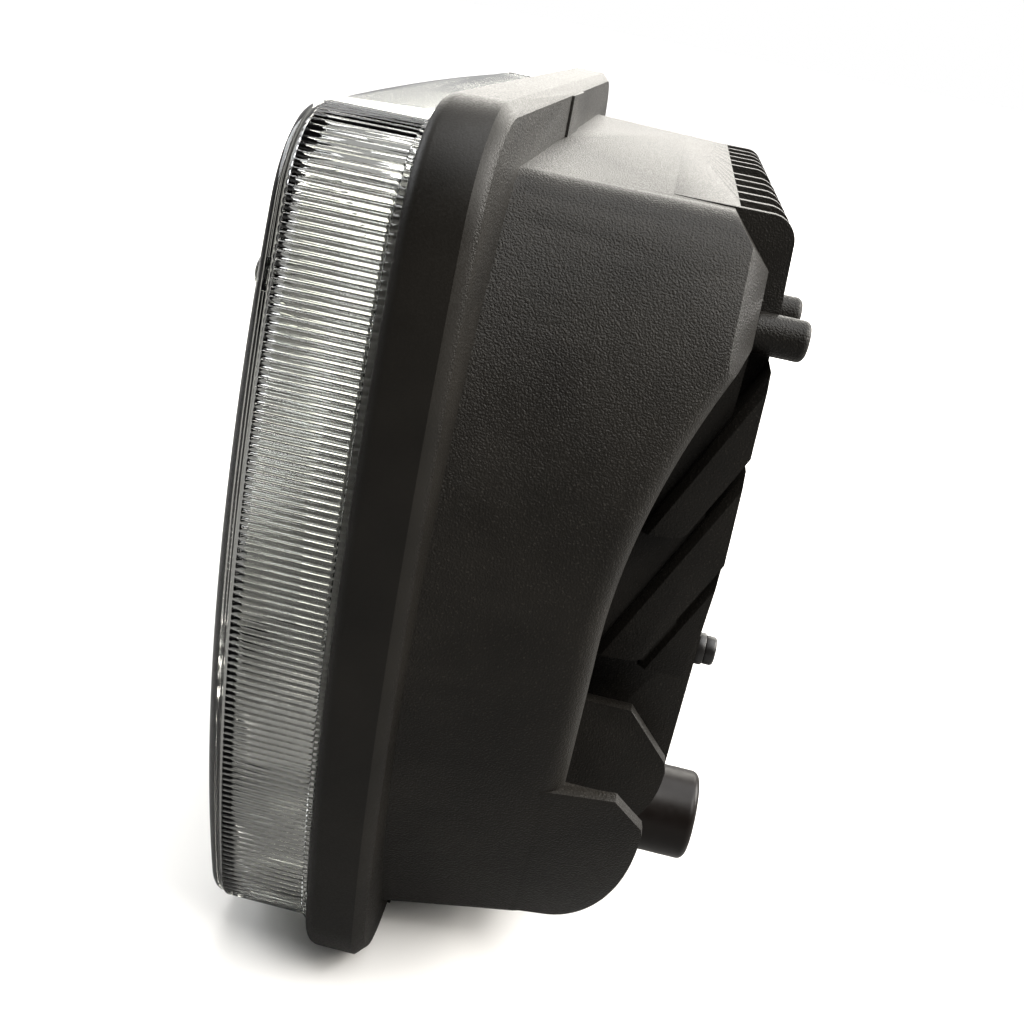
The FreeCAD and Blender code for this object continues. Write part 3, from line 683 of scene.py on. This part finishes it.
def outer_ribs(sizes):
    """Mesh of the two outer ribs, thin walls that carry the bowl's sides on to the rear."""
    bm = bmesh.new()
    rows, columns = 40, 8
    root_sunk, taper_base = 0.25 * MM, 100 * MM
    for hand in (1, -1):
        grids = []
        for inset in (0.0, sizes.thickness):
            grid = []
            for row in range(rows + 1):
                drop = sizes.top + (sizes.foot - sizes.top) * math.sin(math.pi / 2 * row / rows)
                bow = sizes.side_radius - math.sqrt(sizes.side_radius ** 2 - (drop - sizes.widest) ** 2)
                line = []
                for column in range(columns + 1):
                    y = sizes.root + (rib_rear(sizes, drop) - sizes.root) * column / columns
                    sunk = 0.0 if column else root_sunk
                    x = sizes.side - sizes.taper * y / taper_base - bow - inset - sunk
                    line.append(bm.verts.new((hand * x, y, -drop)))
                grid.append(line)
            grids.append(grid)
        strips = [pair for grid in grids for pair in zip(grid, grid[1:])]
        strips += [[grid[end] for grid in grids] for end in (0, -1)]
        strips += [[[line[end] for line in grid] for grid in grids] for end in (0, -1)]
        for first, second in strips:
            bridge(bm, first, second, closed=False)
    bmesh.ops.recalc_face_normals(bm, faces=bm.faces)
    return to_mesh(bm, "outer_ribs")


class BUILD_OT_housing(bpy.types.Operator):
    """Dress the finned casting with rounded edges, its outer ribs and a coarse powder coat"""

    bl_idname = "headlight.housing"
    bl_label = "Housing"

    def execute(self, context):
        radius = context.scene.headlight_casting.edge_round
        piece = rounded_node("housing", radius, powder_coat(), "black_casting")
        ribs = mesh_object("outer_ribs", outer_ribs(context.scene.headlight_ribs))
        bevelled(ribs, radius)
        joined(piece, ribs)
        smooth(piece.data, CREASE)
        return {"FINISHED"}


# Optics and boards

class BUILD_OT_optics(bpy.types.Operator):
    """Finish the reflectors, the trim frame and the bead of sealant"""

    bl_idname = "headlight.optics"
    bl_label = "Optics"

    def execute(self, context):
        bright = metallised()
        for node in ("low_beam_reflector", "high_beam_reflector"):
            paint(node, bright)
        paint("inner_bezel", bare_metal("satin_metallised_trim", context.scene.headlight_colours.trim, 0.4))
        paint("lens_seal", moulded("black_silicone", linear("#161616"), 0.6, 1.2 * MM, 0.05 * MM))
        return {"FINISHED"}


class BUILD_OT_boards(bpy.types.Operator):
    """Finish the lamp boards, their chips and pads, and the driver board with what is soldered to it"""

    bl_idname = "headlight.boards"
    bl_label = "Boards"

    def execute(self, context):
        colours = context.scene.headlight_colours
        mask = moulded("white_solder_mask", colours.board, 0.4, 0.4 * MM, 0.01 * MM)
        chip = moulded("phosphor", linear("#e8d24a"), 0.5, 0.3 * MM, 0.01 * MM)
        silicone = moulded("grey_silicone", linear("#8d9497"), 0.7, 0.8 * MM, 0.03 * MM)
        for beam in ("low", "high"):
            paint(beam + "_led_board", mask)
            paint(beam + "_led_chips", chip)
            paint(beam + "_thermal_pad", silicone)
        paint("driver_board", moulded("green_solder_mask", colours.driver, 0.35, 0.4 * MM, 0.01 * MM))
        paint("driver_inductor", moulded("ferrite", linear("#252423"), 0.6, 0.5 * MM, 0.03 * MM))
        paint("driver_transistors", moulded("epoxy", linear("#141414"), 0.5, 0.3 * MM, 0.01 * MM))
        paint("driver_capacitors", bare_metal("aluminium_can", linear("#b9bbbe"), 0.3))
        return {"FINISHED"}


# Screws

def screw_mesh(name, sizes, reach):
    """Pan-head screw with a six-sided socket, along +Y from the seat of its head."""
    head, height, stem = sizes.head_radius, sizes.head_height, sizes.stem_radius
    socket = head * 0.5
    rows = [
        (socket, -height * 0.35, True), (socket, -height * 0.93, True), (socket * 1.12, -height, False),
        (head * 0.68, -height, False), (head * 0.86, -height * 0.9, False),
        (head * 0.96, -height * 0.7, False), (head, -height * 0.45, False), (head, 0.0, False),
        (stem, 0.0, False), (stem, reach - stem * 0.3, False), (stem * 0.7, reach, False),
    ]
    segments = 24
    return turned(name, rows, segments)


def screw_places(node, sizes):
    """Seat and turn of each screw of a CAD node, and how far the stems, all alike, reach."""
    places = []
    for low, high in loose_boxes(node):
        middle = (low + high) / 2
        span = high - low
        reach = max(span) - sizes.head_height
        if span.y > span.z:
            places.append(((middle.x, low.y + sizes.head_height, middle.z), NO_TURN))
        elif middle.z > 0:
            places.append(((middle.x, middle.y, high.z - sizes.head_height), (-math.pi / 2, 0.0, 0.0)))
        else:
            places.append(((middle.x, middle.y, low.z + sizes.head_height), (math.pi / 2, 0.0, 0.0)))
    return places, reach


class BUILD_OT_screws(bpy.types.Operator):
    """Set the trim frame's screws and the boards' screws"""

    bl_idname = "headlight.screws"
    bl_label = "Screws"

    def execute(self, context):
        sizes = context.scene.headlight_screws
        steel = bare_metal("zinc_plated_steel", linear("#b4b3ac"), 0.32)
        for node in ("trim_screws", "board_screws"):
            places, reach = screw_places(node, sizes)
            piece = repeated(node + "_piece", screw_mesh(node, sizes, reach), places, steel)
            smooth(piece.data, FINE_CREASE)
            seat(piece, "steel", node)
        return {"FINISHED"}


# Inlet and breather

class BUILD_OT_inlet(bpy.types.Operator):
    """Dress the round inlet with its seal and contacts, and the breather"""

    bl_idname = "headlight.inlet"
    bl_label = "Inlet and breather"

    def execute(self, context):
        colours = context.scene.headlight_colours
        gloss = moulded("glossy_nylon", colours.inlet, 0.34, 1.5 * MM, 0.03 * MM, 0.18)
        inlet_edge, vent_edge = 0.3 * MM, 0.2 * MM
        rounded_node("connector_body", inlet_edge, gloss, "gloss_black")
        paint("connector_seal", moulded("seal_rubber", linear("#101010"), 0.7, 0.5 * MM, 0.02 * MM))
        brass = bare_metal("tinned_brass", linear("#c9b070"), 0.25)
        for contact in ("low", "high", "ground"):
            paint("terminal_" + contact, brass)
        matt = moulded("black_nylon", linear("#12100f"), 0.4, 0.5 * MM, 0.03 * MM)
        rounded_node("vent_plug", vent_edge, matt, "vent_plastic")
        rounded_node("vent_cap", vent_edge, matt, "vent_plastic")
        return {"FINISHED"}


# Stage

WINDOWS = (
    # name, place, target, size, power and tint
    ("far_window", (-0.9, 0.05, 0.42), (0, 0, 0), (1.1, 0.6), 11, (1.0, 0.97, 0.9)),
    ("rear_window", (0.33, 0.6, 0.66), (0.06, 0.04, 0), (0.5, 0.5), 6, (1.0, 0.96, 0.9)),
    ("back_window", (-0.35, 0.95, 0.45), (0, 0.03, 0), (0.6, 0.5), 18, (1.0, 0.97, 0.92)),
    ("front_window", (-0.15, -0.9, 0.55), (0, 0, 0), (0.9, 0.5), 6, (0.96, 0.98, 1.0)),
)


def make_floor(context):
    """White paper that gives the lamp less light than it shows, so that the black casting stays dark."""
    half, clearance = 30.0, 0.2 * MM
    through_share, mirror_share, bounce_tone = 0.2, 0.85, 0.13
    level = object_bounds()[0][2] - clearance
    bm = bmesh.new()
    corners = ((-half, -half), (half, -half), (half, half), (-half, half))
    bm.faces.new([bm.verts.new((x, y, level)) for x, y in corners])
    floor = mesh_object("studio_floor", to_mesh(bm, "studio_floor"))
    finish, tree = new_finish("matt_paper")
    path = add(tree, "ShaderNodeLightPath").outputs
    through = calculated(tree, "MULTIPLY_ADD", path["Is Transmission Ray"], through_share,
                         path["Is Diffuse Ray"])
    bounce = calculated(tree, "MULTIPLY_ADD", path["Is Glossy Ray"], mirror_share, through)
    tone = ranged(tree, bounce, (0.0, 1.0), (1.0, bounce_tone))
    shader = add(tree, "ShaderNodeBsdfPrincipled", None, {
        "Base Color": scaled(tree, tuple(context.scene.headlight_colours.floor), tone), "Roughness": 0.9,
        "Specular IOR Level": 0.1})
    surface(tree, shader)
    floor.data.materials.append(finish)
    floor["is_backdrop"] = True


def area_light(name, place, target, size, power, tint):
    data = bpy.data.lights.new(name, "AREA")
    data.shape = "RECTANGLE"
    data.size, data.size_y = size
    data.energy = power
    data.color = tint
    light = bpy.data.objects.new(name, data)
    light.location = place
    light.rotation_euler = (Vector(target) - Vector(place)).to_track_quat("-Z", "Y").to_euler()
    bpy.context.scene.collection.objects.link(light)


def make_lights(context):
    """Dim room that is lighter on its far side, with an even light from above and four windows."""
    scene = context.scene
    scene.view_settings.view_transform = "Standard"
    world = bpy.data.worlds.new("studio")
    scene.world = world
    world.use_nodes = True
    tree = world.node_tree
    tree.nodes.clear()
    far_side, even_way = (-0.8, -0.2, 0.57), Vector((0.05, -0.25, -1.0))
    way = add(tree, "ShaderNodeTexCoord").outputs["Generated"]
    far = add(tree, "ShaderNodeVectorMath", {"operation": "DOT_PRODUCT"}, {
        0: way, 1: far_side}).outputs["Value"]
    glow = ranged(tree, far, (-0.3, 0.8), (0.05, 0.5), "SMOOTHSTEP")
    seen = add(tree, "ShaderNodeLightPath").outputs["Is Camera Ray"]
    strength = add(tree, "ShaderNodeMix", {"data_type": "FLOAT"}, {
        "Factor": seen, 2: glow, 3: 1.0}).outputs[0]
    sky = add(tree, "ShaderNodeBackground", None, {"Color": (1, 1, 1, 1), "Strength": strength})
    add(tree, "ShaderNodeOutputWorld", None, {"Surface": sky.outputs["Background"]})
    sun = bpy.data.lights.new("even_light", "SUN")
    sun.energy = 3.7
    sun.angle = math.radians(60)
    even = bpy.data.objects.new("even_light", sun)
    even.rotation_euler = even_way.to_track_quat("-Z", "Y").to_euler()
    scene.collection.objects.link(even)
    for window in WINDOWS:
        area_light(*window)


def make_camera(context):
    """Camera fitted to the photograph: its place, its axes and its focal length in pixels."""
    place = Vector((228.0, 31.4, 82.3)) * MM
    right = Vector((-0.1561, 0.9721, 0.1753))
    down = Vector((0.3806, 0.2230, -0.8975))
    forward = right.cross(down) * -1
    focal_pixels = 1124.1
    data = bpy.data.cameras.new("photo_camera")
    data.sensor_fit = "HORIZONTAL"
    data.sensor_width = 36.0
    data.lens = focal_pixels / IMAGE_SIDE * data.sensor_width
    data.clip_start = 0.01
    camera = bpy.data.objects.new("photo_camera", data)
    axes = Matrix((right, -down, forward)).transposed()
    camera.matrix_world = Matrix.Translation(place) @ axes.to_4x4()
    context.scene.collection.objects.link(camera)
    context.scene.camera = camera


class BUILD_OT_stage(bpy.types.Operator):
    """Set the floor, the lights and the camera"""

    bl_idname = "headlight.stage"
    bl_label = "Stage"

    def execute(self, context):
        make_floor(context)
        make_lights(context)
        make_camera(context)
        return {"FINISHED"}


# Add-on

class VIEW3D_PT_headlight(bpy.types.Panel):
    bl_label = "Headlight"
    bl_space_type = "VIEW_3D"
    bl_region_type = "UI"
    bl_category = "Headlight"

    def draw(self, context):
        for operator in OPERATORS:
            self.layout.operator(operator.bl_idname)


GROUPS = {"headlight_lens": LensSizes, "headlight_casting": CastingSizes, "headlight_ribs": RibSizes,
          "headlight_screws": ScrewSizes, "headlight_colours": FinishColours}
OPERATORS = (BUILD_OT_housing, BUILD_OT_lens, BUILD_OT_optics, BUILD_OT_boards, BUILD_OT_screws, BUILD_OT_inlet,
             BUILD_OT_stage)
CLASSES = (*GROUPS.values(), *OPERATORS, VIEW3D_PT_headlight)


def register():
    for kind in CLASSES:
        bpy.utils.register_class(kind)
    for name, group in GROUPS.items():
        setattr(bpy.types.Scene, name, bpy.props.PointerProperty(type=group))


def unregister():
    for name in GROUPS:
        delattr(bpy.types.Scene, name)
    for kind in reversed(CLASSES):
        bpy.utils.unregister_class(kind)


def main():
    register()
    bpy.ops.headlight.housing()
    bpy.ops.headlight.lens()
    bpy.ops.headlight.optics()
    bpy.ops.headlight.boards()
    bpy.ops.headlight.screws()
    bpy.ops.headlight.inlet()
    bpy.ops.headlight.stage()


if __name__ == "__main__":
    main()
